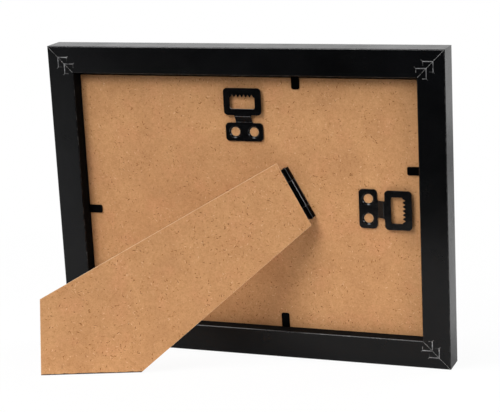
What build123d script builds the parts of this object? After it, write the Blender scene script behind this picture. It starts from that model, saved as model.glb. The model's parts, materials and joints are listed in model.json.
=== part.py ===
from build123d import *
from math import cos, radians, sin, tan
import os

# Sheets held by the frame, a 13 x 18 cm format lying on its long side
sheet_width = 180.0
sheet_height = 130.0
glass_thickness = 1.5
insert_thickness = 0.25
board_thickness = 2.5
sheet_gap = 0.05  # insert to glass

# Moulding of the four rails
rebate_play = 2.0  # rebate opening over the sheets, each way
side_gap = 0.4  # sheets to the left rail, seen from behind
back_land = 14.0  # flat back of the moulding
moulding_depth = 14.0
lip_reach = 5.0  # front lip over the glass
lip_thickness = 2.5
edge_break = 0.4
sight_bevel = 0.8
cut_overrun = 5.0

# Stance
lean = 8.0  # degrees back from upright
leg_opening = 33.0  # degrees between the leg and the board at rest
leg_slant = 28.8  # degrees the leg runs below level, seen from behind

# V nails across the mitres
nail_insets = (5.8, 9.2)  # apex of each nail from both outer edges
nail_arm = 5.0
nail_return_length = 2.0
nail_gauge = 0.4
nail_depth = 8.0

# Flex tabs in the rebate walls
tab_width = 4.2
tab_reach = 7.6  # tip from the rebate wall
tab_gauge = 0.5
tab_clearance = 0.2  # tab to board
tab_bend_gap = 0.2  # shank to the round root of the blade
tab_corner = 0.9
shank_depth = 9.0
shank_point = 2.5
bottom_tab_place = 16.8  # from the middle of each rail, seen from behind
right_tab_place = 18.9
top_tab_place = 27.4
left_tab_place = -7.5

# Stamped hangers
hanger_width = 20.0
hanger_gauge = 0.8
hanger_base = 9.4
hanger_neck = 4.2
hanger_neck_width = 8.6
hanger_plate = 13.8
hanger_rise = 1.4  # toothed plate above the base plate
hanger_corner = 2.0
neck_fillet = 0.8
bend_radius = 0.5
bend_margin = 0.5  # bends from the ends of the neck
hanger_hole_spacing = 10.0
hanger_hole_radius = 2.4
window_width = 13.4
window_margin = 3.2  # window from the neck end of its plate
window_height = 5.9  # to the tips of the teeth
window_corner = 1.0
tooth_count = 6
tooth_pitch = 2.08
tooth_depth = 1.5
landscape_inset = 5.2  # toothed plate from the board's top edge
portrait_inset = 3.7  # toothed plate from the board's right edge

# Collars drawn out of the stamped plates and pressed into the board
collar_wall = 0.35
collar_depth = 1.5
press_gap = 0.03
hanger_dish = 0.7  # sloping rim of each hole
leaf_dish = 0.4

# Leg hinge
hinge_across = 27.3  # middle of the leg's end from the board's middle
hinge_up = 7.5
hinge_shift = 0.8  # hinge from the middle of the leg's end
hinge_length = 28.5
centre_knuckle = 14.3
knuckle_gap = 0.3
knuckle_radius = 1.5
pin_radius = 0.85
pin_clearance = 0.05
pin_end = 0.4
pin_chamfer = 0.25
leaf_gauge = 0.6
leaf_length = 14.0
leaf_corner = 1.5
leaf_hole_place = 9.5
leaf_hole_spacing = 15.0
leaf_hole_radius = 2.0
barrel_clearance = 0.2  # centre knuckle over the board leaf
shoulder_gap = 0.3
heel_width = 1.0
stop_gap = 0.02

# Easel leg
leg_thickness = 2.5
leg_end_width = 35.4
leg_end_gap = 2.6  # leg's end from the hinge axis
leg_flare = 10.6  # degrees the lower side runs outward
leg_inset = 2.9  # folded foot from the frame's left side

# Sizes worked out from the above
frame_width = sheet_width + rebate_play + 2 * back_land
frame_height = sheet_height + rebate_play + 2 * back_land
glass_face = lip_thickness - moulding_depth
insert_face = glass_face + glass_thickness + sheet_gap
board_front = insert_face + insert_thickness
board_face = board_front + board_thickness
sheet_x = side_gap - rebate_play / 2
sheet_y = back_land + sheet_height / 2
axis_rise = leaf_gauge + barrel_clearance + knuckle_radius
axis_level = board_face + axis_rise
bore_radius = pin_radius + pin_clearance
hanger_length = hanger_base + hanger_neck + hanger_plate
tab_level = board_face + tab_clearance + tab_gauge / 2
tab_root = tab_bend_gap + tab_gauge / 2
outer_knuckle = (hinge_length - centre_knuckle) / 2 - knuckle_gap


# Plane of the rails' back: x to the right seen from behind, y up the frame, z out of the back
def back_plane(shift):
    rise = -edge_break * sin(radians(lean))
    outward = (0, cos(radians(lean)), -sin(radians(lean)))
    return Plane(origin=(0, shift, rise), x_dir=(-1, 0, 0), z_dir=outward)


# Plane through the hinge axis, x along the folded leg and y along the axis
def hinge_plane(back):
    place = (sheet_x + hinge_across, sheet_y + hinge_up, axis_level)
    return Plane(back * Location(place, (0, 0, 180 + leg_slant)))


def leg_plane(back):
    return Plane(hinge_plane(back) * Location((0, 0, 0), (0, -leg_opening, 0)))


# Corners of the leg: the foot lies on the table, and the side edge runs up the frame when folded
def leg_corners(leg):
    half = leg_end_width / 2
    flare = tan(radians(leg_flare))
    foot = -(leg.origin.Z + knuckle_radius * leg.z_dir.Z) / leg.x_dir.Z
    foot_turn = -leg.y_dir.Z / leg.x_dir.Z
    edge = (sheet_x + hinge_across + frame_width / 2 - leg_inset) / cos(radians(leg_slant))
    edge_turn = tan(radians(leg_slant))
    lower = (foot + foot_turn * (half - leg_end_gap * flare)) / (1 - foot_turn * flare)
    corner = (edge - foot) / (foot_turn - edge_turn)
    return (
        (leg_end_gap, -half),
        (leg_end_gap, half),
        (lower, half + (lower - leg_end_gap) * flare),
        (foot + foot_turn * corner, corner),
        (edge - edge_turn * half, -half),
    )


# The origin is under the middle of the standing frame's box
start = leg_plane(back_plane(0))
foot_corner = leg_corners(start)[3]
foot_reach = start.from_local_coords((*foot_corner, knuckle_radius + leg_thickness)).Y
front_reach = edge_break * sin(radians(lean)) - moulding_depth * cos(radians(lean))

back = back_plane(-(foot_reach + front_reach) / 2)
middle = Plane(back * Location((0, frame_height / 2, 0)))
sheet = Plane(back * Location((sheet_x, sheet_y, 0)))
board_plane = sheet.offset(board_face)
hinge = Plane(hinge_plane(back) * Location((0, hinge_shift, 0)))
leg = leg_plane(back)
leg_hinge = Plane(leg * Location((0, hinge_shift, 0)))

# Each side of the frame: turn about the middle, length, distance across, tab place along it
sides = {
    "bottom": (0, frame_width, frame_height, bottom_tab_place),
    "right": (90, frame_height, frame_width, right_tab_place),
    "top": (180, frame_width, frame_height, -top_tab_place),
    "left": (270, frame_height, frame_width, -left_tab_place),
}

hanger_holes = [(side * hanger_hole_spacing / 2, hanger_base / 2) for side in (-1, 1)]
leaf_holes = [(leaf_hole_place, side * leaf_hole_spacing / 2) for side in (-1, 1)]
landscape_place = Plane(
    board_plane * Location((0, sheet_height / 2 - landscape_inset - hanger_length, 0))
)
portrait_place = Plane(
    board_plane
    * Location((sheet_width / 2 - portrait_inset - hanger_length, 0, 0), (0, 0, -90))
)


def side_plane(turn):
    return Plane(middle * Location((0, 0, 0), (0, 0, turn)))


# A plane across the given one, for profiles that run along its x axis
def profile_plane(plane, x, y, z):
    point = plane.from_local_coords((x, y, z))
    return Plane(origin=point, x_dir=plane.y_dir, z_dir=plane.x_dir)


# Ring for a drawn collar, with room round it when it is cut as a groove
def collar_sketch(places, radius, room):
    with Locations(*places):
        Circle(radius + collar_wall + room)
        Circle(radius - room, mode=Mode.SUBTRACT)


# A hole's rim on one face of a stamped plate
def hole_rims(part, radius, plane, level):
    return part.edges().filter_by(
        lambda edge: edge.geom_type == GeomType.CIRCLE
        and abs(edge.radius - radius) < press_gap
        and abs(plane.to_local_coords(edge.arc_center).Z - level) < press_gap
    )


os.makedirs("parts", exist_ok=True)


def keep(part, name):
    part.label = name
    export_step(part, f"parts/{name}.step")


# V nails: chevrons with their apex on the mitre, arms along the rails, ends turned in
with BuildPart() as v_nails:
    with BuildSketch(middle):
        for toward_x in (-1, 1):
            for toward_y in (-1, 1):
                for inset in nail_insets:
                    apex_x = toward_x * (frame_width / 2 - inset)
                    apex_y = toward_y * (frame_height / 2 - inset)
                    end_x = apex_x - toward_x * nail_arm
                    end_y = apex_y - toward_y * nail_arm
                    with BuildLine():
                        Polyline(
                            (end_x, apex_y - toward_y * nail_return_length),
                            (end_x, apex_y),
                            (apex_x, apex_y),
                            (apex_x, end_y),
                            (apex_x - toward_x * nail_return_length, end_y),
                        )
                    trace(line_width=nail_gauge)
    extrude(amount=-nail_depth)
keep(v_nails.part, "v_nails")


# Flex tabs: a shank driven into the rail and a blade that bends at the wall
shanks = {}
for side, (turn, length, across, place) in sides.items():
    plane = side_plane(turn)
    wall = back_land - across / 2
    with BuildPart() as tab_shank:
        with BuildSketch(Plane(plane * Location((place, wall, tab_level - tab_gauge / 2)))):
            with BuildLine():
                Polyline(
                    (-tab_width / 2, 0),
                    (tab_width / 2, 0),
                    (tab_width / 2, shank_point - shank_depth),
                    (0, -shank_depth),
                    (-tab_width / 2, shank_point - shank_depth),
                    close=True,
                )
            make_face()
        extrude(amount=tab_gauge)
    keep(tab_shank.part, f"{side}_tab_shank")
    shanks[side] = tab_shank.part

    with BuildPart() as tab_blade:
        with BuildSketch(profile_plane(plane, place, wall + tab_root, tab_level)):
            Circle(tab_gauge / 2)
            with Locations(((tab_reach - tab_root) / 2, 0)):
                Rectangle(tab_reach - tab_root, tab_gauge)
        extrude(amount=tab_width / 2, both=True)
        fillet(tab_blade.edges().filter_by(Axis((0, 0, 0), plane.z_dir)), tab_corner)
    keep(tab_blade.part, f"{side}_tab")


# Rails: one moulding, mitred at both ends and pierced for the nails and the tab
for side, (turn, length, across, place) in sides.items():
    plane = side_plane(turn)
    lip_edge = back_land + lip_reach
    with BuildPart() as rail:
        with BuildSketch(profile_plane(plane, 0, -across / 2, 0)):
            with BuildLine():
                Polyline(
                    (0, -edge_break),
                    (edge_break, 0),
                    (back_land - edge_break, 0),
                    (back_land, -edge_break),
                    (back_land, glass_face),
                    (lip_edge, glass_face),
                    (lip_edge, sight_bevel - moulding_depth),
                    (lip_edge - sight_bevel, -moulding_depth),
                    (edge_break, -moulding_depth),
                    (0, edge_break - moulding_depth),
                    close=True,
                )
            make_face()
        extrude(amount=length / 2, both=True)
        for end in (-1, 1):
            corner = plane.from_local_coords((end * length / 2, -across / 2, 0))
            mitre = Plane(origin=corner, z_dir=plane.x_dir * end + plane.y_dir)
            split(bisect_by=mitre, keep=Keep.BOTTOM)
        add(v_nails.part, mode=Mode.SUBTRACT)
        add(shanks[side], mode=Mode.SUBTRACT)
    keep(rail.part, f"{side}_rail")


# Glass and insert, resting on the bottom rail
with BuildPart() as glass_pane:
    with BuildSketch(sheet.offset(glass_face)):
        Rectangle(sheet_width, sheet_height)
    extrude(amount=glass_thickness)
keep(glass_pane.part, "glass_pane")

with BuildPart() as photo_insert:
    with BuildSketch(sheet.offset(insert_face)):
        Rectangle(sheet_width, sheet_height)
    extrude(amount=insert_thickness)
keep(photo_insert.part, "photo_insert")


# Backing board, with a groove pressed round each collar
with BuildPart() as backing_board:
    with BuildSketch(sheet.offset(board_front)):
        Rectangle(sheet_width, sheet_height)
    extrude(amount=board_thickness)
    for place in (landscape_place, portrait_place):
        with BuildSketch(place):
            collar_sketch(hanger_holes, hanger_hole_radius, press_gap)
        extrude(amount=-collar_depth - press_gap, mode=Mode.SUBTRACT)
    with BuildSketch(hinge.offset(-axis_rise)):
        collar_sketch(leaf_holes, leaf_hole_radius, press_gap)
    extrude(amount=-collar_depth - press_gap, mode=Mode.SUBTRACT)
keep(backing_board.part, "backing_board")


# Hanger: stepped strip trimmed to its outline, with a toothed window and two drawn holes
def make_hanger(place, name):
    centre_line = hanger_gauge / 2
    neck_end = hanger_base + hanger_neck
    window_foot = neck_end + window_margin
    tips = window_foot + window_height
    row_end = tooth_count * tooth_pitch / 2
    teeth = []
    for tooth in range(tooth_count):
        teeth.append((row_end - tooth * tooth_pitch, tips))
        teeth.append((row_end - (tooth + 0.5) * tooth_pitch, tips + tooth_depth))
    with BuildPart() as hanger:
        with BuildSketch(profile_plane(place, 0, 0, 0)):
            with BuildLine():
                FilletPolyline(
                    (0, centre_line),
                    (hanger_base + bend_margin, centre_line),
                    (neck_end - bend_margin, centre_line + hanger_rise),
                    (hanger_length, centre_line + hanger_rise),
                    radius=bend_radius + centre_line,
                )
            trace(line_width=hanger_gauge)
        extrude(amount=hanger_width / 2, both=True)
        with BuildSketch(place.offset(-cut_overrun)) as outline:
            with Locations((0, hanger_base / 2)):
                RectangleRounded(hanger_width, hanger_base, hanger_corner)
            with Locations((0, hanger_base + hanger_neck / 2)):
                Rectangle(hanger_neck_width, hanger_neck + hanger_corner)
            with Locations((0, neck_end + hanger_plate / 2)):
                RectangleRounded(hanger_width, hanger_plate, hanger_corner)
            neck_sides = outline.vertices().filter_by(
                lambda vertex: abs(abs(vertex.X) - hanger_neck_width / 2) < press_gap
            )
            fillet(neck_sides, neck_fillet)
        extrude(amount=2 * cut_overrun, mode=Mode.INTERSECT)
        with BuildSketch(place) as window:
            with BuildLine():
                Polyline(
                    (-window_width / 2, window_foot),
                    (window_width / 2, window_foot),
                    (window_width / 2, tips),
                    *teeth,
                    (-row_end, tips),
                    (-window_width / 2, tips),
                    close=True,
                )
            make_face()
            fillet(window.vertices().group_by(Axis.Y)[0], window_corner)
        extrude(amount=cut_overrun, mode=Mode.SUBTRACT)
        with BuildSketch(place):
            collar_sketch(hanger_holes, hanger_hole_radius, 0)
        extrude(amount=-collar_depth)
        with BuildSketch(place):
            with Locations(*hanger_holes):
                Circle(hanger_hole_radius)
        extrude(amount=hanger_gauge, mode=Mode.SUBTRACT)
        chamfer(hole_rims(hanger, hanger_hole_radius, place, hanger_gauge), hanger_dish)
    keep(hanger.part, name)


make_hanger(landscape_place, "landscape_hanger")
make_hanger(portrait_place, "portrait_hanger")


# A plane across the hinge axis, x along the leg and y out of it; it extrudes back along the axis
def knuckle_plane(plane, along):
    point = plane.from_local_coords((0, along, 0))
    return Plane(origin=point, x_dir=plane.x_dir, z_dir=-plane.y_dir)


# Board leaf: plate on the board, its two outer strips turned up and rolled over the pin
leaf_seat = hinge.offset(-axis_rise)
with BuildPart() as hinge_board_leaf:
    with BuildSketch(leaf_seat) as leaf:
        with Locations(((leaf_length - knuckle_radius) / 2, 0)):
            Rectangle(leaf_length + knuckle_radius, hinge_length)
        fillet(leaf.vertices().group_by(Axis.X)[-1], leaf_corner)
    extrude(amount=leaf_gauge)
    for start_along in (hinge_length / 2, outer_knuckle - hinge_length / 2):
        with BuildSketch(knuckle_plane(hinge, start_along)):
            Circle(knuckle_radius)
            with Locations((leaf_gauge / 2 - knuckle_radius, -axis_rise / 2)):
                Rectangle(leaf_gauge, axis_rise)
            Circle(bore_radius, mode=Mode.SUBTRACT)
        extrude(amount=outer_knuckle)
    with BuildSketch(leaf_seat):
        collar_sketch(leaf_holes, leaf_hole_radius, 0)
    extrude(amount=-collar_depth)
    with BuildSketch(leaf_seat):
        with Locations(*leaf_holes):
            Circle(leaf_hole_radius)
    extrude(amount=leaf_gauge, mode=Mode.SUBTRACT)
    chamfer(hole_rims(hinge_board_leaf, leaf_hole_radius, leaf_seat, leaf_gauge), leaf_dish)
keep(hinge_board_leaf.part, "hinge_board_leaf")

with BuildPart() as hinge_pin:
    with BuildSketch(knuckle_plane(hinge, 0)):
        Circle(pin_radius)
    extrude(amount=hinge_length / 2 + pin_end, both=True)
    chamfer(hinge_pin.edges().filter_by(GeomType.CIRCLE), pin_chamfer)
keep(hinge_pin.part, "hinge_pin")


# Leg leaf: plate under the leg, a centre knuckle, and a heel that meets the board leaf when open
leaf_top = leg_hinge.offset(knuckle_radius)
shoulder = knuckle_radius + shoulder_gap
with BuildPart() as hinge_leg_leaf:
    with BuildSketch(leaf_top) as leaf:
        with Locations(((leaf_length + shoulder) / 2, 0)):
            Rectangle(leaf_length - shoulder, hinge_length)
        fillet(leaf.vertices().group_by(Axis.X)[-1], leaf_corner)
        with Locations((shoulder / 2, 0)):
            Rectangle(shoulder, centre_knuckle)
    extrude(amount=-leaf_gauge)
    with BuildSketch(knuckle_plane(leg_hinge, centre_knuckle / 2)):
        Circle(knuckle_radius)
    extrude(amount=centre_knuckle)
    with BuildSketch(knuckle_plane(hinge, centre_knuckle / 2)):
        heel_drop = axis_rise - leaf_gauge - stop_gap
        with Locations((-heel_width / 2, -heel_drop / 2)):
            Rectangle(heel_width, heel_drop)
    extrude(amount=centre_knuckle)
    with BuildSketch(knuckle_plane(hinge, centre_knuckle / 2)):
        Circle(bore_radius)
    extrude(amount=centre_knuckle, mode=Mode.SUBTRACT)
    with BuildSketch(leaf_top):
        collar_sketch(leaf_holes, leaf_hole_radius, 0)
    extrude(amount=collar_depth)
    with BuildSketch(leaf_top):
        with Locations(*leaf_holes):
            Circle(leaf_hole_radius)
    extrude(amount=-leaf_gauge, mode=Mode.SUBTRACT)
    chamfer(hole_rims(hinge_leg_leaf, leaf_hole_radius, leaf_top, -leaf_gauge), leaf_dish)
keep(hinge_leg_leaf.part, "hinge_leg_leaf")


# Easel leg, grooved for the leg leaf's collars
with BuildPart() as easel_leg:
    with BuildSketch(leg.offset(knuckle_radius)):
        with BuildLine():
            Polyline(*leg_corners(leg), close=True)
        make_face()
    extrude(amount=leg_thickness)
    with BuildSketch(leaf_top):
        collar_sketch(leaf_holes, leaf_hole_radius, press_gap)
    extrude(amount=collar_depth + press_gap, mode=Mode.SUBTRACT)
keep(easel_leg.part, "easel_leg")
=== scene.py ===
import json
import math
import bpy
import bmesh
from mathutils import Matrix, Vector


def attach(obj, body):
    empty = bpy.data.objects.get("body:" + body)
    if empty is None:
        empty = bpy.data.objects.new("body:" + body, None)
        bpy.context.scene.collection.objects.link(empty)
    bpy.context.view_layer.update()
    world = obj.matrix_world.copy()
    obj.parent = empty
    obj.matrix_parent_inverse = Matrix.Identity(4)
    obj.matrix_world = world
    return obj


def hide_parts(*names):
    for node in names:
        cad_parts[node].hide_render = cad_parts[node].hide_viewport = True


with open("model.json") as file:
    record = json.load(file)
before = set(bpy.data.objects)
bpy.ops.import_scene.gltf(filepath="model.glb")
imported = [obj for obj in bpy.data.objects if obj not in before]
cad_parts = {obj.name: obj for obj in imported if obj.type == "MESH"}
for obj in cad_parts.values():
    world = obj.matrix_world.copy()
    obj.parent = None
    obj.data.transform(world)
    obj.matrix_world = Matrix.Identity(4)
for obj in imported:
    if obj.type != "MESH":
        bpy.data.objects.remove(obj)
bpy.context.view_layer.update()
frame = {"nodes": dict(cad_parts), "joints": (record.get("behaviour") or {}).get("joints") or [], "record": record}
nodes = frame["nodes"]
joints = {joint["name"]: joint for joint in frame["joints"]}
mm = 0.001
levelGap = 0.01 * mm  # heights this close count as one level
print("frame loaded with", len(nodes), "nodes")

# directions of the leaning back: across to the right seen from behind, up the frame, out of the back
acrossBack = Vector((-1, 0, 0))
upTheFrame = Vector(joints["left_tab_bend"]["axis"]).normalized()
if upTheFrame.z < 0:
    upTheFrame.negate()
outOfBack = acrossBack.cross(upTheFrame)


def reach(nodeName, axis):  # lowest and highest of a node along an axis
    spots = [vertex.co.dot(axis) for vertex in nodes[nodeName].data.vertices]
    return min(spots), max(spots)


frontLevel, backLevel = reach("top_rail", outOfBack)
frameTop = reach("top_rail", upTheFrame)[1]
frameBottom = reach("bottom_rail", upTheFrame)[0]
frameLeft = reach("left_rail", acrossBack)[0]
frameRight = reach("right_rail", acrossBack)[1]
halfWide = (frameRight - frameLeft) / 2
halfTall = (frameTop - frameBottom) / 2
backMiddle = (acrossBack * (frameLeft + frameRight) / 2
              + upTheFrame * (frameTop + frameBottom) / 2
              + outOfBack * backLevel)
backTurn = Matrix((acrossBack, upTheFrame, outOfBack)).transposed()
backPlace = Matrix.Translation(backMiddle) @ backTurn.to_4x4()

legFaces = sorted(nodes["easel_leg"].data.polygons, key=lambda face: -face.area)
legOut = legFaces[0].normal.copy()
if legOut.dot(outOfBack) < 0:
    legOut.negate()


# small helpers for shader trees
def newFinish(name):
    finish = bpy.data.materials.new(name)
    finish.use_nodes = True
    return finish, finish.node_tree, finish.node_tree.nodes["Principled BSDF"]


def addNode(tree, kind, inputs=None, **settings):
    node = tree.nodes.new(kind)
    for key, value in settings.items():
        setattr(node, key, value)
    for key, value in (inputs or {}).items():
        if isinstance(value, bpy.types.NodeSocket):
            tree.links.new(value, node.inputs[key])
        else:
            node.inputs[key].default_value = value
    return node


def pieceCoords(tree, alongBack=False):  # Object coordinates, turned into the back's own axes if asked
    coords = addNode(tree, "ShaderNodeTexCoord").outputs["Object"]
    if not alongBack:
        return coords
    turned = addNode(tree, "ShaderNodeMapping", {"Vector": coords}, vector_type="TEXTURE")
    turned.inputs["Location"].default_value = backMiddle
    turned.inputs["Rotation"].default_value = backTurn.to_euler("XYZ")
    return turned.outputs["Vector"]


def stretched(tree, coords, scale):
    return addNode(tree, "ShaderNodeMapping", {"Vector": coords, "Scale": scale}).outputs["Vector"]


def noise(tree, coords, scale, detail=3.0, roughness=0.5, distortion=0.0):
    return addNode(tree, "ShaderNodeTexNoise", {
        "Vector": coords, "Scale": scale, "Detail": detail,
        "Roughness": roughness, "Distortion": distortion}).outputs["Fac"]


def ramp(tree, source, stops):
    node = addNode(tree, "ShaderNodeValToRGB", {"Fac": source})
    line = node.color_ramp
    while len(line.elements) < len(stops):
        line.elements.new(1.0)
    for element, (position, colour) in zip(line.elements, stops):
        element.position = position
        element.color = (*colour, 1)
    return node.outputs["Color"]


def greyRamp(tree, source, stops):
    return ramp(tree, source, [(position, (grey, grey, grey)) for position, grey in stops])


def blendColours(tree, share, first, second, mode="MIX"):
    node = addNode(tree, "ShaderNodeMix", data_type="RGBA", blend_type=mode)
    for index, value in ((0, share), (6, first), (7, second)):
        if isinstance(value, bpy.types.NodeSocket):
            tree.links.new(value, node.inputs[index])
        elif index == 0:
            node.inputs[index].default_value = value
        else:
            node.inputs[index].default_value = (*value, 1)
    return node.outputs[2]


def maths(tree, operation, first, second=0.0):
    node = addNode(tree, "ShaderNodeMath", operation=operation)
    for index, value in ((0, first), (1, second)):
        if isinstance(value, bpy.types.NodeSocket):
            tree.links.new(value, node.inputs[index])
        else:
            node.inputs[index].default_value = value
    return node.outputs[0]


def facing(tree, axis):  # 1 where the surface faces along the axis, either way, 0 across it
    normal = addNode(tree, "ShaderNodeTexCoord").outputs["Normal"]
    dot = addNode(tree, "ShaderNodeVectorMath", {0: normal, 1: axis}, operation="DOT_PRODUCT")
    return maths(tree, "ABSOLUTE", dot.outputs["Value"])


def relief(tree, shader, height, distance):
    bump = addNode(tree, "ShaderNodeBump", {"Height": height, "Distance": distance, "Strength": 1.0})
    tree.links.new(bump.outputs["Normal"], shader.inputs["Normal"])


# satin black film on the rails
lacquerLook = {
    "deep": (0.0006, 0.0007, 0.0009),
    "lit": (0.0018, 0.0020, 0.0026),
    "dust": (0.085, 0.086, 0.090),
    "worn": (0.060, 0.058, 0.056),
    "cloud": 22.0,
    "speck": 820.0,
    "dusty": 60.0,
    "rub": 240.0,
    "sheen": 55.0,
    "grain": 1500.0,
    "grainDepth": 0.012 * mm,
    "roughness": (0.19, 0.29),
    "refraction": 1.29,  # index, sets how strongly the film shines
}


def makeLacquer():
    finish, tree, shader = newFinish("satin_black_film")
    coords = pieceCoords(tree, alongBack=True)
    cloud = noise(tree, coords, lacquerLook["cloud"], 4.0, 0.55)
    colour = ramp(tree, cloud, [(0.35, lacquerLook["deep"]), (0.68, lacquerLook["lit"])])
    speck = greyRamp(tree, noise(tree, coords, lacquerLook["speck"], 2.0, 0.6), [(0.735, 0), (0.77, 1)])
    rare = greyRamp(tree, noise(tree, coords, lacquerLook["dusty"], 2.0), [(0.5, 0), (0.62, 0.6)])
    colour = blendColours(tree, maths(tree, "MULTIPLY", speck, rare), colour, lacquerLook["dust"])
    flat = maths(tree, "MAXIMUM", facing(tree, outOfBack), facing(tree, upTheFrame))
    flat = maths(tree, "MAXIMUM", flat, facing(tree, acrossBack))
    arris = greyRamp(tree, flat, [(0.93, 1), (0.985, 0)])  # only the broken edges
    rubbed = greyRamp(tree, noise(tree, coords, lacquerLook["rub"], 5.0, 0.65), [(0.47, 0), (0.66, 0.75)])
    colour = blendColours(tree, maths(tree, "MULTIPLY", arris, rubbed), colour, lacquerLook["worn"])
    tree.links.new(colour, shader.inputs["Base Color"])
    patches = noise(tree, coords, lacquerLook["sheen"], 5.0, 0.6)
    smooth, rough = lacquerLook["roughness"]
    tree.links.new(greyRamp(tree, patches, [(0.3, smooth), (0.7, rough)]), shader.inputs["Roughness"])
    grain = noise(tree, coords, lacquerLook["grain"], 3.0, 0.6)
    relief(tree, shader, grain, lacquerLook["grainDepth"])
    shader.inputs["IOR"].default_value = lacquerLook["refraction"]
    return finish


# dyed wood left bare inside the rebate, where the film stops
rebateLook = {
    "deep": (0.0008, 0.0008, 0.0009),
    "lit": (0.0036, 0.0035, 0.0036),
    "fibres": 700.0,
    "fibreDepth": 0.03 * mm,
    "inset": 13.8 * mm,  # from the outer sides
    "sunk": 0.5 * mm,    # below the back
    "lip": 1.2 * mm,     # film runs this far back from the front
}


def makeRebate():
    finish, tree, shader = newFinish("dyed_rebate_wood")
    coords = pieceCoords(tree, alongBack=True)
    fibres = noise(tree, coords, rebateLook["fibres"], 5.0, 0.65, 0.8)
    tree.links.new(ramp(tree, fibres, [(0.35, rebateLook["deep"]), (0.7, rebateLook["lit"])]),
                   shader.inputs["Base Color"])
    tree.links.new(greyRamp(tree, fibres, [(0.3, 0.95), (0.7, 0.80)]), shader.inputs["Roughness"])
    shader.inputs["Specular IOR Level"].default_value = 0.08
    relief(tree, shader, fibres, rebateLook["fibreDepth"])
    return finish


# pressed fibre board for the backing board and the leg
boardLook = {
    "shade": (0.498, 0.249, 0.105),
    "middle": (0.543, 0.276, 0.117),
    "light": (0.588, 0.307, 0.133),
    "pink": (0.577, 0.273, 0.123),
    "darkFleck": (0.190, 0.068, 0.018),
    "paleFleck": (0.700, 0.455, 0.262),
    "cutEdge": (0.680, 0.455, 0.270),
    "cloud": 46.0,
    "grains": ((1500.0, 0.90, 1.07), (620.0, 0.93, 1.05), (210.0, 0.97, 1.02)),  # scale, darkest, lightest
    "blush": 75.0,
    "darkCells": 205.0,
    "paleCells": 240.0,
    "sawFuzz": 1400.0,
    "felt": 1100.0,
    "feltDepth": 0.02 * mm,
}


def flecks(tree, coords, cells, size, keepShare, stretch):  # scattered chips, in some cells only
    warp = noise(tree, coords, cells * 4.0, 2.0)
    cell = addNode(tree, "ShaderNodeTexVoronoi", {
        "Vector": stretched(tree, coords, stretch), "Scale": cells, "Randomness": 1.0})
    edge = maths(tree, "ADD", cell.outputs["Distance"], maths(tree, "MULTIPLY", warp, 0.16))
    chip = greyRamp(tree, edge, [(size, 1), (size + 0.04, 0)])
    draw = addNode(tree, "ShaderNodeSeparateColor", {"Color": cell.outputs["Color"]}).outputs["Red"]
    return maths(tree, "MULTIPLY", chip, maths(tree, "LESS_THAN", draw, keepShare))


def warmer(level):  # a level of tone that turns browner as it darkens
    return level, level ** 1.35, level ** 1.95


# lowest edge of the leg, darkened with painted shade where it stands on the table
footShadeLook = {"height": 0.45 * mm, "ragged": 0.80 * mm, "shadeEdgeScale": 300.0, "paintedShade": (0.050, 0.036, 0.028)}


# painted shade: everything below a ragged height above the table turns dark
def paintFootShade(tree, coords, colour):
    height = addNode(tree, "ShaderNodeSeparateXYZ", {"Vector": coords}).outputs["Z"]
    ragged = maths(tree, "MULTIPLY", noise(tree, coords, footShadeLook["shadeEdgeScale"], 3.0), footShadeLook["ragged"])
    low = maths(tree, "LESS_THAN", height, maths(tree, "ADD", ragged, footShadeLook["height"]))
    return blendColours(tree, low, colour, footShadeLook["paintedShade"])


def makeFibreBoard(name, faceAxis):
    finish, tree, shader = newFinish(name)
    coords = pieceCoords(tree)
    cloud = noise(tree, coords, boardLook["cloud"], 6.0, 0.58, 0.4)
    colour = ramp(tree, cloud, [(0.30, boardLook["shade"]), (0.50, boardLook["middle"]),
                                (0.72, boardLook["light"])])
    blush = greyRamp(tree, noise(tree, coords, boardLook["blush"], 3.0), [(0.52, 0), (0.70, 0.55)])
    colour = blendColours(tree, blush, colour, boardLook["pink"])
    for scale, low, high in boardLook["grains"]:
        grain = noise(tree, coords, scale, 3.0, 0.6, 0.4)
        shade = ramp(tree, grain, [(0.33, warmer(low)), (0.5, (1, 1, 1)), (0.67, warmer(high))])
        colour = blendColours(tree, 1.0, colour, shade, "MULTIPLY")
    dark = flecks(tree, coords, boardLook["darkCells"], 0.09, 0.40, (1.0, 1.0, 1.6))
    colour = blendColours(tree, maths(tree, "MULTIPLY", dark, 0.8), colour, boardLook["darkFleck"])
    pale = flecks(tree, coords, boardLook["paleCells"], 0.11, 0.4, (1.5, 1.0, 1.0))
    colour = blendColours(tree, maths(tree, "MULTIPLY", pale, 0.55), colour, boardLook["paleFleck"])
    cut = greyRamp(tree, facing(tree, faceAxis), [(0.6, 1), (0.9, 0)])
    edgeFuzz = greyRamp(tree, noise(tree, coords, boardLook["sawFuzz"], 3.0, 0.7), [(0.3, 0.55), (0.7, 1.0)])
    edgeColour = blendColours(tree, 1.0, boardLook["cutEdge"], edgeFuzz, "MULTIPLY")
    # painted shade along the leg's lowest edge
    colour = paintFootShade(tree, coords, blendColours(tree, cut, colour, edgeColour))
    tree.links.new(colour, shader.inputs["Base Color"])
    tree.links.new(greyRamp(tree, cloud, [(0.3, 0.72), (0.7, 0.60)]), shader.inputs["Roughness"])
    shader.inputs["Specular IOR Level"].default_value = 0.28
    relief(tree, shader, noise(tree, coords, boardLook["felt"], 4.0, 0.65), boardLook["feltDepth"])
    return finish


# paler arris where the saw left the board, made paler than the cut face as a painted highlight along the edges
arrisAndHighlightLook = {
    "dim": (0.760, 0.490, 0.280),
    "pale": (0.920, 0.700, 0.470),
    "fray": 900.0,
    "frayDepth": 0.02 * mm,
}


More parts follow.
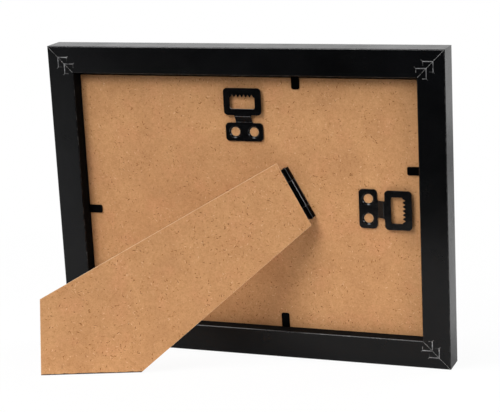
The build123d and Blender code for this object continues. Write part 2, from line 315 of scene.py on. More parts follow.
def makeSawnArrisAndHighlight():
    finish, tree, shader = newFinish("sawn_arris_and_highlight")
    coords = pieceCoords(tree)
    fray = noise(tree, coords, arrisAndHighlightLook["fray"], 4.0, 0.65)
    colour = ramp(tree, fray, [(0.35, arrisAndHighlightLook["dim"]), (0.65, arrisAndHighlightLook["pale"])])
    # painted shade along the leg's lowest edge here too
    tree.links.new(paintFootShade(tree, coords, colour), shader.inputs["Base Color"])
    tree.links.new(greyRamp(tree, fray, [(0.3, 0.8), (0.7, 0.65)]), shader.inputs["Roughness"])
    shader.inputs["Specular IOR Level"].default_value = 0.25
    relief(tree, shader, fray, arrisAndHighlightLook["frayDepth"])
    return finish


# black coating on the stamped steel
coatingLook = {
    "deep": (0.0008, 0.0008, 0.0010),
    "lit": (0.0022, 0.0022, 0.0027),
    "cloud": 190.0,
    "sheen": 420.0,
    "orangePeel": 900.0,
    "peelDepth": 0.010 * mm,
    "gloss": {"glossy_highlight_black_steel": 1.56, "black_coated_steel": 1.36,
              "dulled_black_steel": 1.25, "matt_black_steel": 1.07},  # index of refraction
}


def makeCoating(name):
    finish, tree, shader = newFinish(name)
    coords = pieceCoords(tree)
    cloud = noise(tree, coords, coatingLook["cloud"], 4.0, 0.6)
    tree.links.new(ramp(tree, cloud, [(0.35, coatingLook["deep"]), (0.7, coatingLook["lit"])]),
                   shader.inputs["Base Color"])
    sheen = noise(tree, coords, coatingLook["sheen"], 3.0)
    tree.links.new(greyRamp(tree, sheen, [(0.3, 0.15), (0.7, 0.26)]), shader.inputs["Roughness"])
    relief(tree, shader, noise(tree, coords, coatingLook["orangePeel"], 2.0), coatingLook["peelDepth"])
    shader.inputs["IOR"].default_value = coatingLook["gloss"][name]
    return finish


# edges where the coating is rubbed thin; the same finish makes the painted highlight lines on the landscape
# hanger's neck bends
edgeWearAndHighlightLook = {"thin": (0.016, 0.016, 0.018), "bare": (0.16, 0.16, 0.165), "rub": 700.0}


def makeEdgeWearAndCreaseHighlight():
    finish, tree, shader = newFinish("edge_wear_and_crease_highlight")
    coords = pieceCoords(tree)
    rub = noise(tree, coords, edgeWearAndHighlightLook["rub"], 4.0, 0.65)
    tree.links.new(ramp(tree, rub, [(0.48, edgeWearAndHighlightLook["thin"]), (0.70, edgeWearAndHighlightLook["bare"])]),
                   shader.inputs["Base Color"])
    tree.links.new(greyRamp(tree, rub, [(0.3, 0.26), (0.7, 0.36)]), shader.inputs["Roughness"])
    tree.links.new(greyRamp(tree, rub, [(0.55, 0.0), (0.75, 0.7)]), shader.inputs["Metallic"])
    return finish


# dull bare steel of the corner nails, their turned-in ends mostly under smeared film
nailLook = {
    "steel": (0.46, 0.46, 0.47),
    "dull": (0.17, 0.17, 0.175),
    "smear": (0.012, 0.012, 0.013),
    "tone": 330.0,
    "sheen": 1500.0,
    "scratches": 2400.0,
    "scratchDepth": 0.01 * mm,
    "insets": (5.8 * mm, 9.2 * mm),  # apex of each nail from both outer edges
    "arm": 5.0 * mm,
    "return": 2.0 * mm,
    "halfGauge": 0.25 * mm,
}


def onNailArm(tree, coords):  # 1 along the arms, 0 on the turned-in ends
    spot = addNode(tree, "ShaderNodeSeparateXYZ", {"Vector": coords}).outputs
    fromSide = maths(tree, "SUBTRACT", halfWide, maths(tree, "ABSOLUTE", spot["X"]))
    fromEnd = maths(tree, "SUBTRACT", halfTall, maths(tree, "ABSOLUTE", spot["Y"]))
    nearest = maths(tree, "MINIMUM", fromSide, fromEnd)
    gaps = [maths(tree, "ABSOLUTE", maths(tree, "SUBTRACT", nearest, inset))
            for inset in nailLook["insets"]]
    return maths(tree, "LESS_THAN", maths(tree, "MINIMUM", *gaps), nailLook["halfGauge"])


def makeNailSteel():
    finish, tree, shader = newFinish("dull_nail_steel")
    coords = pieceCoords(tree, alongBack=True)
    tone = noise(tree, coords, nailLook["tone"], 4.0, 0.6)
    bright = ramp(tree, tone, [(0.34, nailLook["smear"]), (0.48, nailLook["dull"]),
                               (0.66, nailLook["steel"])])
    buried = ramp(tree, tone, [(0.52, nailLook["smear"]), (0.72, nailLook["dull"])])
    tree.links.new(blendColours(tree, onNailArm(tree, coords), buried, bright), shader.inputs["Base Color"])
    tree.links.new(greyRamp(tree, tone, [(0.35, 0.15), (0.6, 0.75)]), shader.inputs["Metallic"])
    sheen = noise(tree, coords, nailLook["sheen"])
    tree.links.new(greyRamp(tree, sheen, [(0.3, 0.38), (0.7, 0.55)]), shader.inputs["Roughness"])
    relief(tree, shader, noise(tree, coords, nailLook["scratches"], 2.0), nailLook["scratchDepth"])
    return finish


# clear float glass, faintly smudged
glassLook = {
    "tint": (0.955, 0.978, 0.970),
    "smudged": (0.970, 0.985, 0.980),
    "lampTint": (0.93, 0.95, 0.945),
    "smudges": 26.0,
    "refraction": 1.5,
}


def makeGlass():
    finish, tree, shader = newFinish("clear_float_glass")
    coords = pieceCoords(tree, alongBack=True)
    smudge = noise(tree, coords, glassLook["smudges"], 5.0, 0.6, 1.2)
    tree.links.new(greyRamp(tree, smudge, [(0.45, 0.0), (0.75, 0.06)]), shader.inputs["Roughness"])
    tint = ramp(tree, smudge, [(0.3, glassLook["tint"]), (0.7, glassLook["smudged"])])
    tree.links.new(tint, shader.inputs["Base Color"])
    shader.inputs["Transmission Weight"].default_value = 1.0
    shader.inputs["IOR"].default_value = glassLook["refraction"]
    clear = addNode(tree, "ShaderNodeBsdfTransparent", {"Color": (*glassLook["lampTint"], 1)})
    lampRay = addNode(tree, "ShaderNodeLightPath").outputs["Is Shadow Ray"]  # lamps reach the card
    mix = addNode(tree, "ShaderNodeMixShader", {
        0: lampRay, 1: shader.outputs["BSDF"], 2: clear.outputs["BSDF"]})
    tree.links.new(mix.outputs["Shader"], tree.nodes["Material Output"].inputs["Surface"])
    return finish


# plain white card behind the glass
cardLook = {
    "dim": (0.78, 0.77, 0.745),
    "bright": (0.85, 0.845, 0.825),
    "fibres": 900.0,
    "fibreDepth": 0.008 * mm,
}


def makeCard():
    finish, tree, shader = newFinish("plain_white_card")
    coords = pieceCoords(tree, alongBack=True)
    fibre = noise(tree, stretched(tree, coords, (0.6, 1.0, 1.0)), cardLook["fibres"], 5.0, 0.65)
    tree.links.new(ramp(tree, fibre, [(0.3, cardLook["dim"]), (0.65, cardLook["bright"])]),
                   shader.inputs["Base Color"])
    tree.links.new(greyRamp(tree, fibre, [(0.3, 0.85), (0.7, 0.72)]), shader.inputs["Roughness"])
    relief(tree, shader, fibre, cardLook["fibreDepth"])
    return finish


lacquer = makeLacquer()
rebateWood = makeRebate()
boardFinish = makeFibreBoard("pressed_fibre_board", outOfBack)
legFinish = makeFibreBoard("pressed_fibre_leg", legOut)
coating = makeCoating("black_coated_steel")
dulledCoating = makeCoating("dulled_black_steel")
mattCoating = makeCoating("matt_black_steel")
highlightCoating = makeCoating("glossy_highlight_black_steel")
edgeWearAndCreaseHighlight = makeEdgeWearAndCreaseHighlight()
nailSteel = makeNailSteel()
clearGlass = makeGlass()
whiteCard = makeCard()
sawnArrisAndHighlight = makeSawnArrisAndHighlight()

finishOf = {"v_nails": nailSteel, "glass_pane": clearGlass, "photo_insert": whiteCard,
            "backing_board": boardFinish, "easel_leg": legFinish}
for nodeName, part in nodes.items():
    finish = finishOf.get(nodeName, lacquer if nodeName.endswith("_rail") else coating)
    part.data.materials.clear()
    part.data.materials.append(finish)
print("finishes on", len(nodes), "nodes")


bodyOf = {name: body for body, names in frame["record"]["behaviour"]["bodies"].items() for name in names}


def showPiece(name, mesh):
    piece = bpy.data.objects.new(name, mesh)
    bpy.context.scene.collection.objects.link(piece)
    return piece


def settle(piece):  # puts what the modifiers make into the mesh and drops them
    graph = bpy.context.evaluated_depsgraph_get()
    made = bpy.data.meshes.new_from_object(piece.evaluated_get(graph), depsgraph=graph)
    made.name = piece.name
    piece.modifiers.clear()
    piece.data = made
    return piece


# edges eased on copies of the solids: stamped steel, sawn board and mitred rails
easeLook = {
    "mergeGap": 0.002 * mm,
    "flatAngle": 0.5,    # degrees, triangles this flat become one face
    "sharpAngle": 28.0,  # degrees, edges sharper than this are eased
    "steps": 2,
    "widths": {"rail": 0.10 * mm, "hanger": 0.26 * mm, "leaf": 0.12 * mm, "tab": 0.10 * mm,
               "board": 0.20 * mm, "leg": 0.40 * mm},
}


def easeEdges(nodeName, kind, faceFinish, edgeFinish):
    shape = bmesh.new()
    shape.from_mesh(nodes[nodeName].data)
    bmesh.ops.remove_doubles(shape, verts=shape.verts, dist=easeLook["mergeGap"])
    bmesh.ops.dissolve_limit(shape, angle_limit=math.radians(easeLook["flatAngle"]),
                             verts=shape.verts, edges=shape.edges)
    mesh = bpy.data.meshes.new(nodeName + "_eased")
    shape.to_mesh(mesh)
    shape.free()
    mesh.materials.append(faceFinish)
    mesh.materials.append(edgeFinish)
    mesh.shade_smooth()
    mesh.set_sharp_from_angle(angle=math.radians(easeLook["sharpAngle"]))
    piece = showPiece(nodeName + "_eased", mesh)
    ease = piece.modifiers.new("ease", "BEVEL")
    ease.width = easeLook["widths"][kind]
    ease.segments = easeLook["steps"]
    ease.limit_method = "ANGLE"
    ease.angle_limit = math.radians(easeLook["sharpAngle"])
    ease.material = 1
    even = piece.modifiers.new("even", "WEIGHTED_NORMAL")
    even.keep_sharp = False
    settle(piece)
    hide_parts(nodeName)
    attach(piece, bodyOf[nodeName])
    return piece


def bareRebate(piece):  # faces inside the rebate lose the film
    piece.data.materials.append(rebateWood)
    for face in piece.data.polygons:
        spot = backPlace.inverted() @ face.center
        fromSides = min(halfWide - abs(spot.x), halfTall - abs(spot.y))
        inside = fromSides > rebateLook["inset"]
        if inside and frontLevel - backLevel + rebateLook["lip"] < spot.z < -rebateLook["sunk"]:
            face.material_index = 2


# painted highlights on the landscape hanger: lines along the neck's bends and on the window's sill
hangerHighlightLook = {
    "crease": (0.925, 0.995),  # how squarely the bent strips of the neck face out
    "sill": (9.9 * mm, 11.3 * mm),  # lower wall of the toothed window, from the top of the plate
    "sillRise": 0.3,  # faces of the sill that look up at least this much get the painted highlight
    "base": 18.0 * mm,  # plate with the drawn holes, from the same top
    "steel": (0.36, 0.355, 0.35),
    "dull": (0.18, 0.18, 0.18),
    "rub": 600.0,
}


# painted highlight for the window's sill, a bare steel grey
def makeSillHighlight():
    finish, tree, shader = newFinish("painted_sill_highlight")
    rub = noise(tree, pieceCoords(tree), hangerHighlightLook["rub"], 4.0, 0.6)
    tree.links.new(ramp(tree, rub, [(0.35, hangerHighlightLook["dull"]), (0.65, hangerHighlightLook["steel"])]),
                   shader.inputs["Base Color"])
    tree.links.new(greyRamp(tree, rub, [(0.3, 0.45), (0.7, 0.6)]), shader.inputs["Roughness"])
    shader.inputs["Metallic"].default_value = 0.4
    return finish


def paintHangerHighlights(piece):  # painted highlight lines on the neck's bends and on the window's up-facing sill, glossier coating in the drawn rims
    for finish in (makeSillHighlight(), coating):
        piece.data.materials.append(finish)
    top = max(vertex.co.dot(upTheFrame) for vertex in piece.data.vertices)
    for face in piece.data.polygons:
        below = top - face.center.dot(upTheFrame)
        square = face.normal.dot(outOfBack)
        if face.material_index == 0 and below > hangerHighlightLook["base"] and square < hangerHighlightLook["crease"][1]:
            face.material_index = 3
        # painted highlight lines along the neck's bends
        elif hangerHighlightLook["crease"][0] < square < hangerHighlightLook["crease"][1]:
            face.material_index = 1
        # painted highlight on the sill faces that look up
        looksUp = face.normal.dot(upTheFrame) > hangerHighlightLook["sillRise"]
        if looksUp and hangerHighlightLook["sill"][0] < below < hangerHighlightLook["sill"][1]:
            face.material_index = 2


# painted highlight on the hinge's barrel: a glossier coating only on faces that look toward the streak, the rest
# stays matt and reflects little
hingeHighlightLook = {
    "highlightFacing": (0.62, 0.36, 0.69),  # it faces this far right, up and out
    "spread": 0.984,  # how squarely a face must look that way to get the highlight gloss
}


def glossHighlightOnCrest(piece, finish):
    highlightFacing = backTurn @ Vector(hingeHighlightLook["highlightFacing"])
    piece.data.materials.append(finish)
    for face in piece.data.polygons:
        if face.material_index == 0 and face.normal.dot(highlightFacing) > hingeHighlightLook["spread"]:
            face.material_index = 2


for side in ("top", "bottom", "left", "right"):
    rail = easeEdges(side + "_rail", "rail", lacquer, lacquer)
    bareRebate(rail)
    easeEdges(side + "_tab", "tab", mattCoating, mattCoating)
# painted highlights on the landscape hanger only
hanger = easeEdges("landscape_hanger", "hanger", dulledCoating, edgeWearAndCreaseHighlight)
paintHangerHighlights(hanger)
easeEdges("portrait_hanger", "hanger", coating, edgeWearAndCreaseHighlight)
# painted highlight: the leg leaf's crest gets the glossiest coating, the board leaf's a dimmer one
for nodeName, finish in (("hinge_board_leaf", dulledCoating), ("hinge_leg_leaf", highlightCoating)):
    leaf = easeEdges(nodeName, "leaf", mattCoating, edgeWearAndCreaseHighlight)
    glossHighlightOnCrest(leaf, finish)
# the eased edges of board and leg get the paler arris, partly a painted highlight
easeEdges("backing_board", "board", boardFinish, sawnArrisAndHighlight)
easeEdges("easel_leg", "leg", legFinish, sawnArrisAndHighlight)
print("edges eased")


# helpers for Geometry Nodes trees
def newTree(name, inputs):
    tree = bpy.data.node_groups.new(name, "GeometryNodeTree")
    tree.interface.new_socket("Geometry", in_out="OUTPUT", socket_type="NodeSocketGeometry")
    tree.interface.new_socket("Geometry", in_out="INPUT", socket_type="NodeSocketGeometry")
    for label, kind in inputs.items():
        tree.interface.new_socket(label, in_out="INPUT", socket_type="NodeSocket" + kind)
    return tree, tree.nodes.new("NodeGroupInput").outputs, tree.nodes.new("NodeGroupOutput").inputs


def growPiece(name, seedMesh, tree, values, place=None):
    piece = showPiece(name, seedMesh)
    grow = piece.modifiers.new("grow", "NODES")
    grow.node_group = tree
    sockets = {item.name: item.identifier for item in tree.interface.items_tree if item.in_out == "INPUT"}
    for label, value in values.items():
        grow[sockets[label]] = value
    settle(piece)
    if place is not None:
        piece.data.transform(place)
    return piece


# fibre chips pressed into the faces of the board and the leg
chipLook = {
    "sides": 4,
    "topRadius": 0.32 * mm,  # of a chip one unit long and broad
    "footRadius": 0.50 * mm,
    "height": 0.030 * mm,
    "sunk": 0.012 * mm,
    "tones": [(0.0, (0.110, 0.024, 0.0)), (0.30, (0.225, 0.072, 0.006)), (0.40, (0.340, 0.140, 0.032)),
              (0.64, (0.430, 0.200, 0.068)), (0.70, (0.650, 0.375, 0.190)), (1.0, (0.770, 0.500, 0.295))],
    "toneSeed": 5,
    "seeds": {"backing_board": 11, "easel_leg": 29},
    "perSquareMetre": {"backing_board": 280000.0, "easel_leg": 360000.0},  # where they lie thickest
    "clusters": 85.0,
    "grain": 2600.0,
    "margin": 0.8 * mm,  # bare rim along the sawn edges
    "least": (0.45, 0.14),  # length and breadth, in units
    "most": (2.40, 0.44),
}


def makeChipFinish():
    finish, tree, shader = newFinish("fibre_chips")
    tone = addNode(tree, "ShaderNodeAttribute", attribute_name="chipTone").outputs["Fac"]
    grain = noise(tree, pieceCoords(tree), chipLook["grain"], 3.0, 0.6)
    colour = blendColours(tree, 0.4, ramp(tree, tone, chipLook["tones"]),
                          greyRamp(tree, grain, [(0.3, 0.6), (0.7, 1.2)]), "MULTIPLY")
    tree.links.new(colour, shader.inputs["Base Color"])
    tree.links.new(greyRamp(tree, grain, [(0.3, 0.60), (0.7, 0.75)]), shader.inputs["Roughness"])
    shader.inputs["Specular IOR Level"].default_value = 0.04
    return finish


def makeChipTree():
    tree, given, out = newTree("pressedChips", {
        "Density": "Float", "Clusters": "Float", "Margin": "Float", "Seed": "Int", "Least": "Vector",
        "Most": "Vector", "Height": "Float", "Sunk": "Float", "Finish": "Material"})
    spread = addNode(tree, "GeometryNodeDistributePointsOnFaces", {
        "Mesh": given["Geometry"], "Density": given["Density"], "Seed": given["Seed"]})
    spot = addNode(tree, "GeometryNodeInputPosition").outputs["Position"]
    patchy = greyRamp(tree, noise(tree, spot, given["Clusters"], 3.0, 0.6), [(0.35, 0.12), (0.65, 1.0)])
    draw = addNode(tree, "FunctionNodeRandomValue", {"Seed": given["Seed"]}, data_type="FLOAT")
    sides = addNode(tree, "GeometryNodeInputMeshEdgeNeighbors").outputs["Face Count"]
    rim = addNode(tree, "GeometryNodeSeparateGeometry", {
        "Geometry": given["Geometry"], "Selection": maths(tree, "LESS_THAN", sides, 1.5)}, domain="EDGE")
    toRim = addNode(tree, "GeometryNodeProximity", {0: rim.outputs["Selection"]}, target_element="EDGES")
    gone = maths(tree, "MAXIMUM", maths(tree, "GREATER_THAN", draw.outputs[1], patchy),
                 maths(tree, "LESS_THAN", toRim.outputs["Distance"], given["Margin"]))
    kept = addNode(tree, "GeometryNodeDeleteGeometry", {
        "Geometry": spread.outputs["Points"], "Selection": gone}, domain="POINT")
    chip = addNode(tree, "GeometryNodeMeshCone", {
        "Vertices": chipLook["sides"], "Radius Top": chipLook["topRadius"],
        "Radius Bottom": chipLook["footRadius"], "Depth": given["Height"]})
    size = addNode(tree, "FunctionNodeRandomValue", data_type="FLOAT_VECTOR")
    tree.links.new(given["Least"], size.inputs[0])
    tree.links.new(given["Most"], size.inputs[1])
    tree.links.new(given["Seed"], size.inputs["Seed"])
    placed = addNode(tree, "GeometryNodeInstanceOnPoints", {
        "Points": kept.outputs["Geometry"], "Instance": chip.outputs["Mesh"],
        "Rotation": spread.outputs["Rotation"], "Scale": size.outputs[0]})
    turn = addNode(tree, "FunctionNodeRandomValue", data_type="FLOAT")
    turn.inputs[3].default_value = math.tau
    spin = addNode(tree, "ShaderNodeCombineXYZ", {"Z": turn.outputs[1]})
    turned = addNode(tree, "GeometryNodeRotateInstances", {
        "Instances": placed.outputs["Instances"], "Rotation": spin.outputs["Vector"]})
    down = addNode(tree, "ShaderNodeCombineXYZ")
    tree.links.new(maths(tree, "MULTIPLY", given["Sunk"], -1.0), down.inputs["Z"])
    seated = addNode(tree, "GeometryNodeTranslateInstances", {
        "Instances": turned.outputs["Instances"], "Translation": down.outputs["Vector"]})
    tone = addNode(tree, "FunctionNodeRandomValue", data_type="FLOAT")
    tone.inputs["Seed"].default_value = chipLook["toneSeed"]
    named = addNode(tree, "GeometryNodeStoreNamedAttribute", {
        "Geometry": seated.outputs["Instances"], "Name": "chipTone"}, data_type="FLOAT", domain="INSTANCE")
    value = [socket for socket in named.inputs if socket.name == "Value" and socket.enabled][0]
    tree.links.new(tone.outputs[1], value)
    real = addNode(tree, "GeometryNodeRealizeInstances", {"Geometry": named.outputs["Geometry"]})
    painted = addNode(tree, "GeometryNodeSetMaterial", {
        "Geometry": real.outputs["Geometry"], "Material": given["Finish"]})
    tree.links.new(painted.outputs["Geometry"], out["Geometry"])
    return tree


def outerFace(nodeName, axis):  # the node's own triangles on its outermost flat face
    level = reach(nodeName, axis)[1]
    shape = bmesh.new()
    shape.from_mesh(nodes[nodeName].data)
    inner = [face for face in shape.faces
             if face.normal.dot(axis) < 0.99 or face.calc_center_median().dot(axis) < level - levelGap]
    bmesh.ops.delete(shape, geom=inner, context="FACES")
    bmesh.ops.remove_doubles(shape, verts=shape.verts, dist=easeLook["mergeGap"])
    mesh = bpy.data.meshes.new(nodeName + "_face")
    shape.to_mesh(mesh)
    shape.free()
    return mesh


chipFinish = makeChipFinish()
chipTree = makeChipTree()
for nodeName, axis in (("backing_board", outOfBack), ("easel_leg", legOut)):
    chips = growPiece(nodeName + "_chips", outerFace(nodeName, axis), chipTree, {
        "Density": chipLook["perSquareMetre"][nodeName], "Clusters": chipLook["clusters"],
        "Margin": chipLook["margin"], "Seed": chipLook["seeds"][nodeName],
        "Least": (*chipLook["least"], 1.0), "Most": (*chipLook["most"], 1.0),
        "Height": chipLook["height"], "Sunk": chipLook["sunk"], "Finish": chipFinish})
    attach(chips, bodyOf[nodeName])
    print("chips on", nodeName, len(chips.data.polygons))


# filler showing in the mitres and film torn up along the corner nails, drawn in the back's own plane
cornerLook = {
    "seamHalfWidth": 0.09 * mm,
    "seamProud": 0.05 * mm,
    "flick": 0.75 * mm,
    "hookShares": (0.35, 1.0),  # of the turned-in end, where the film is up
    "tornHalfWidth": 0.15 * mm,
    "tornProud": 0.07 * mm,
    "step": 0.35 * mm,
    "seamWander": 0.035 * mm,
    "tornWander": 0.070 * mm,
    "sectionSides": 6,
    "girth": (0.35, 1.25),  # thinnest and thickest of a bead, as shares of its section
    "seamSeed": 3,
    "tornSeed": 8,
    "girthSeedShift": 10.0,
    "fillerGrain": 420.0,
    "tornGrain": 520.0,
    "fillerTones": [(0.3, (0.100, 0.100, 0.101)), (0.7, (0.420, 0.416, 0.405))],
    "tornTones": [(0.36, (0.010, 0.010, 0.011)), (0.50, (0.10, 0.10, 0.10)), (0.66, (0.36, 0.355, 0.345))],
}


def landEdges(level):  # how far in the flat land runs from the outer sides, at the back or the front
    spots = [vertex.co.dot(acrossBack) - frameLeft for vertex in nodes["left_rail"].data.vertices
             if abs(vertex.co.dot(outOfBack) - level) < levelGap]
    return min(spots), max(spots)


def pathMesh(name, paths):
    points, edges = [], []
    for path in paths:
        edges += [(len(points) + i, len(points) + i + 1) for i in range(len(path) - 1)]
        points += path
    mesh = bpy.data.meshes.new(name)
    mesh.from_pydata(points, edges, [])
    return mesh


def makeBeadTree(name):  # a flat bead along each path, uneven in width and line
    tree, given, out = newTree(name, {
        "Half Width": "Float", "Proud": "Float", "Step": "Float", "Wander": "Float", "Seed": "Int",
        "Finish": "Material"})
    line = addNode(tree, "GeometryNodeMeshToCurve", {"Mesh": given["Geometry"]})
    fine = addNode(tree, "GeometryNodeResampleCurve", {"Curve": line.outputs["Curve"]}, mode="LENGTH")
    tree.links.new(given["Step"], fine.inputs["Length"])
    level = addNode(tree, "GeometryNodeSetCurveNormal", {"Curve": fine.outputs["Curve"]}, mode="Z_UP")
    drift = addNode(tree, "FunctionNodeRandomValue", data_type="FLOAT_VECTOR")
    for index, sign in ((0, -1.0), (1, 1.0)):
        aside = addNode(tree, "ShaderNodeCombineXYZ")
        for axis in ("X", "Y"):
            tree.links.new(maths(tree, "MULTIPLY", given["Wander"], sign), aside.inputs[axis])
        tree.links.new(aside.outputs["Vector"], drift.inputs[index])
    tree.links.new(given["Seed"], drift.inputs["Seed"])
    moved = addNode(tree, "GeometryNodeSetPosition", {
        "Geometry": level.outputs["Curve"], "Offset": drift.outputs[0]})
    girth = addNode(tree, "FunctionNodeRandomValue", data_type="FLOAT")
    girth.inputs[2].default_value, girth.inputs[3].default_value = cornerLook["girth"]
    tree.links.new(maths(tree, "ADD", given["Seed"], cornerLook["girthSeedShift"]), girth.inputs["Seed"])
    ring = addNode(tree, "GeometryNodeCurvePrimitiveCircle", {
        "Resolution": cornerLook["sectionSides"], "Radius": 1.0})
    flat = addNode(tree, "ShaderNodeCombineXYZ", {"Z": 1.0})
    tree.links.new(given["Half Width"], flat.inputs["X"])
    tree.links.new(given["Proud"], flat.inputs["Y"])
    section = addNode(tree, "GeometryNodeTransform", {
        "Geometry": ring.outputs["Curve"], "Scale": flat.outputs["Vector"]})
    swept = addNode(tree, "GeometryNodeCurveToMesh", {
        "Curve": moved.outputs["Geometry"], "Profile Curve": section.outputs["Geometry"],
        "Scale": girth.outputs[1], "Fill Caps": True})
    real = addNode(tree, "GeometryNodeRealizeInstances", {"Geometry": swept.outputs["Mesh"]})
    painted = addNode(tree, "GeometryNodeSetMaterial", {
        "Geometry": real.outputs["Geometry"], "Material": given["Finish"]})
    tree.links.new(painted.outputs["Geometry"], out["Geometry"])
    return tree


def makeFiller():
    finish, tree, shader = newFinish("grey_mitre_filler")
    tone = noise(tree, pieceCoords(tree), cornerLook["fillerGrain"], 4.0, 0.6)
    tree.links.new(ramp(tree, tone, cornerLook["fillerTones"]), shader.inputs["Base Color"])
    tree.links.new(greyRamp(tree, tone, [(0.3, 0.55), (0.7, 0.75)]), shader.inputs["Roughness"])
    return finish


def makeTornFilm():
    finish, tree, shader = newFinish("torn_black_film")
    tone = noise(tree, pieceCoords(tree), cornerLook["tornGrain"], 5.0, 0.65)
    tree.links.new(ramp(tree, tone, cornerLook["tornTones"]), shader.inputs["Base Color"])
    tree.links.new(greyRamp(tree, tone, [(0.3, 0.45), (0.7, 0.7)]), shader.inputs["Roughness"])
    return finish


def seamPaths():
    paths = []
    for level in (backLevel, frontLevel):
        begin, end = landEdges(level)
        for toX in (-1, 1):
            for toY in (-1, 1):
                paths.append([(toX * (halfWide - inset), toY * (halfTall - inset), level - backLevel)
                              for inset in (begin, end)])
    return paths


def tornPaths():  # film turned up past the nails' arms, and along the inner nails' turned-in ends
    arm, flick = nailLook["arm"], cornerLook["flick"]
    hook = [share * nailLook["return"] for share in cornerLook["hookShares"]]
    paths = []
    for toX in (-1, 1):
        for toY in (-1, 1):
            for inset in nailLook["insets"]:
                x, y = toX * (halfWide - inset), toY * (halfTall - inset)
                endX, endY = x - toX * arm, y - toY * arm
                paths.append([(endX, y, 0), (endX - toX * flick, y + toY * flick, 0)])
                paths.append([(x, endY, 0), (x + toX * flick, endY - toY * flick, 0)])
                if inset == max(nailLook["insets"]):
                    paths.append([(endX, y - toY * along, 0) for along in hook])
                    paths.append([(x - toX * along, endY, 0) for along in hook])
    return paths


beadTree = makeBeadTree("flatBeads")
seams = growPiece("mitre_filler", pathMesh("mitre_paths", seamPaths()), beadTree, {
    "Half Width": cornerLook["seamHalfWidth"], "Proud": cornerLook["seamProud"],
    "Step": cornerLook["step"], "Wander": cornerLook["seamWander"], "Seed": cornerLook["seamSeed"],
    "Finish": makeFiller()}, backPlace)
torn = growPiece("torn_film", pathMesh("torn_paths", tornPaths()), beadTree, {
    "Half Width": cornerLook["tornHalfWidth"], "Proud": cornerLook["tornProud"],
    "Step": cornerLook["step"], "Wander": cornerLook["tornWander"], "Seed": cornerLook["tornSeed"],
    "Finish": makeTornFilm()}, backPlace)
for piece in (seams, torn):
    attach(piece, "frame")
print("corners dressed", len(seams.data.polygons), len(torn.data.polygons))


# camera where the photograph was taken from
cameraLook = {
    "place": (-0.2919, 0.7389, 0.1764),
    "forward": (0.3518, -0.9285, -0.1190),
    "lens": 117.2,
    "sensor": 36.0,
}
cameraData = bpy.data.cameras.new("photo_camera")
cameraData.sensor_fit = "HORIZONTAL"
cameraData.sensor_width = cameraLook["sensor"]
cameraData.lens = cameraLook["lens"]
cameraData.clip_start = 0.01
camera = bpy.data.objects.new("photo_camera", cameraData)
camera.location = cameraLook["place"]
camera.rotation_euler = Vector(cameraLook["forward"]).to_track_quat("-Z", "Y").to_euler()
bpy.context.scene.collection.objects.link(camera)
bpy.context.scene.camera = camera


# pale floor and backdrop, one sweep
sweepLook = {
    "halfWide": 2.6,
    "nearEdge": 0.12,  # the table ends short of the camera
    "farEdge": -1.5,
    "bend": 0.5,
    "height": 2.4,
    "steps": 12,
    "paint": (0.93, 0.93, 0.93),
    "floorGlow": 0.94,  # share of plain white round the object, the rest keeps the shadow
    "shadowReach": (0.20, 0.60),  # from the object, where the floor turns to plain white
}


def palePaint(name, shadow):
    finish, tree, shader = newFinish(name)
    shader.inputs["Base Color"].default_value = (*sweepLook["paint"], 1)
    shader.inputs["Roughness"].default_value = 0.9
    shader.inputs["Specular IOR Level"].default_value = 0.1
    glow = addNode(tree, "ShaderNodeEmission", {"Color": (1, 1, 1, 1), "Strength": 1.0})
    path = addNode(tree, "ShaderNodeLightPath").outputs
    seen = maths(tree, "MAXIMUM", path["Is Camera Ray"], path["Is Transmission Ray"])
    if shadow:
        away = addNode(tree, "ShaderNodeVectorMath", {0: pieceCoords(tree)}, operation="LENGTH")
        near, far = sweepLook["shadowReach"]
        white = greyRamp(tree, away.outputs["Value"], [(near, sweepLook["floorGlow"]), (far, 1.0)])
        seen = maths(tree, "MULTIPLY", seen, white)
    else:
        seen = maths(tree, "MAXIMUM", seen, path["Is Glossy Ray"])
    mix = addNode(tree, "ShaderNodeMixShader", {
        0: seen, 1: shader.outputs["BSDF"], 2: glow.outputs["Emission"]})
    tree.links.new(mix.outputs["Shader"], tree.nodes["Material Output"].inputs["Surface"])
    return finish


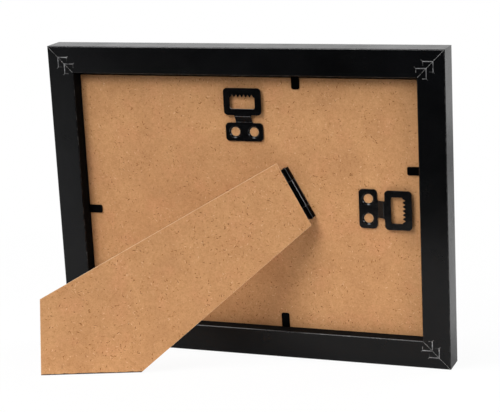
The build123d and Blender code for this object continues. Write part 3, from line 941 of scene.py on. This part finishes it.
def makeSweep():
    profile = [(sweepLook["nearEdge"], 0.0), (sweepLook["farEdge"], 0.0)]
    for step in range(1, sweepLook["steps"] + 1):
        angle = math.radians(90) * step / sweepLook["steps"]
        profile.append((sweepLook["farEdge"] - sweepLook["bend"] * math.sin(angle),
                        sweepLook["bend"] * (1 - math.cos(angle))))
    profile.append((profile[-1][0], sweepLook["height"]))
    points = [(side * sweepLook["halfWide"], y, z) for y, z in profile for side in (-1, 1)]
    faces = [(2 * i, 2 * i + 1, 2 * i + 3, 2 * i + 2) for i in range(len(profile) - 1)]
    mesh = bpy.data.meshes.new("pale_sweep")
    mesh.from_pydata(points, [], faces)
    mesh.shade_smooth()
    mesh.materials.append(palePaint("pale_floor_paint", True))
    mesh.materials.append(palePaint("pale_wall_paint", False))
    for face in mesh.polygons:
        face.material_index = 0 if face.index == 0 else 1
    showPiece("pale_sweep", mesh)


makeSweep()


# soft studio light: from the left and above, small ones from the right and low down, one on the picture
lightLook = {
    "room": 0.03,
    "roomInGloss": 0.04,  # share of the white room that reflections show
    "aim": (0, 0, 0.08),
    "panels": {
        "left_panel": {"place": (0.41, 1.13, 0.83), "size": (0.7, 0.7), "power": 13.4},
        "top_panel": {"place": (0.45, 0.52, 1.25), "size": (0.6, 0.6), "power": 11.1},
        "right_panel": {"place": (-1.05, 0.63, 0.56), "size": (0.3, 0.3), "power": 3.4},
        "low_card": {"place": (0.85, 0.90, -0.45), "size": (0.5, 0.5), "power": 1.2},
        "picture_panel": {"place": (-0.35, -0.65, 0.85), "size": (0.7, 0.7), "power": 5.0},
    },
}


def makeLights():
    aim = Vector(lightLook["aim"])
    for name, panel in lightLook["panels"].items():
        data = bpy.data.lights.new(name, "AREA")
        data.shape = "RECTANGLE"
        data.size, data.size_y = panel["size"]
        data.energy = panel["power"]
        lamp = bpy.data.objects.new(name, data)
        lamp.location = panel["place"]
        lamp.rotation_euler = (aim - Vector(panel["place"])).to_track_quat("-Z", "Y").to_euler()
        bpy.context.scene.collection.objects.link(lamp)
    world = bpy.data.worlds.new("dim_room")
    bpy.context.scene.world = world
    world.use_nodes = True
    tree = world.node_tree
    path = addNode(tree, "ShaderNodeLightPath")
    seen = maths(tree, "MAXIMUM", path.outputs["Is Camera Ray"], path.outputs["Is Transmission Ray"])
    glossy = maths(tree, "MULTIPLY", path.outputs["Is Glossy Ray"], lightLook["roomInGloss"])
    seen = maths(tree, "MAXIMUM", seen, glossy)
    level = addNode(tree, "ShaderNodeMix", data_type="FLOAT")
    level.inputs[2].default_value = lightLook["room"]
    level.inputs[3].default_value = 1.0
    tree.links.new(seen, level.inputs[0])
    tree.links.new(level.outputs[0], tree.nodes["Background"].inputs["Strength"])
    tree.nodes["Background"].inputs["Color"].default_value = (1, 1, 1, 1)


makeLights()
bpy.context.scene.view_settings.view_transform = "Standard"
print("camera, sweep and lights set")
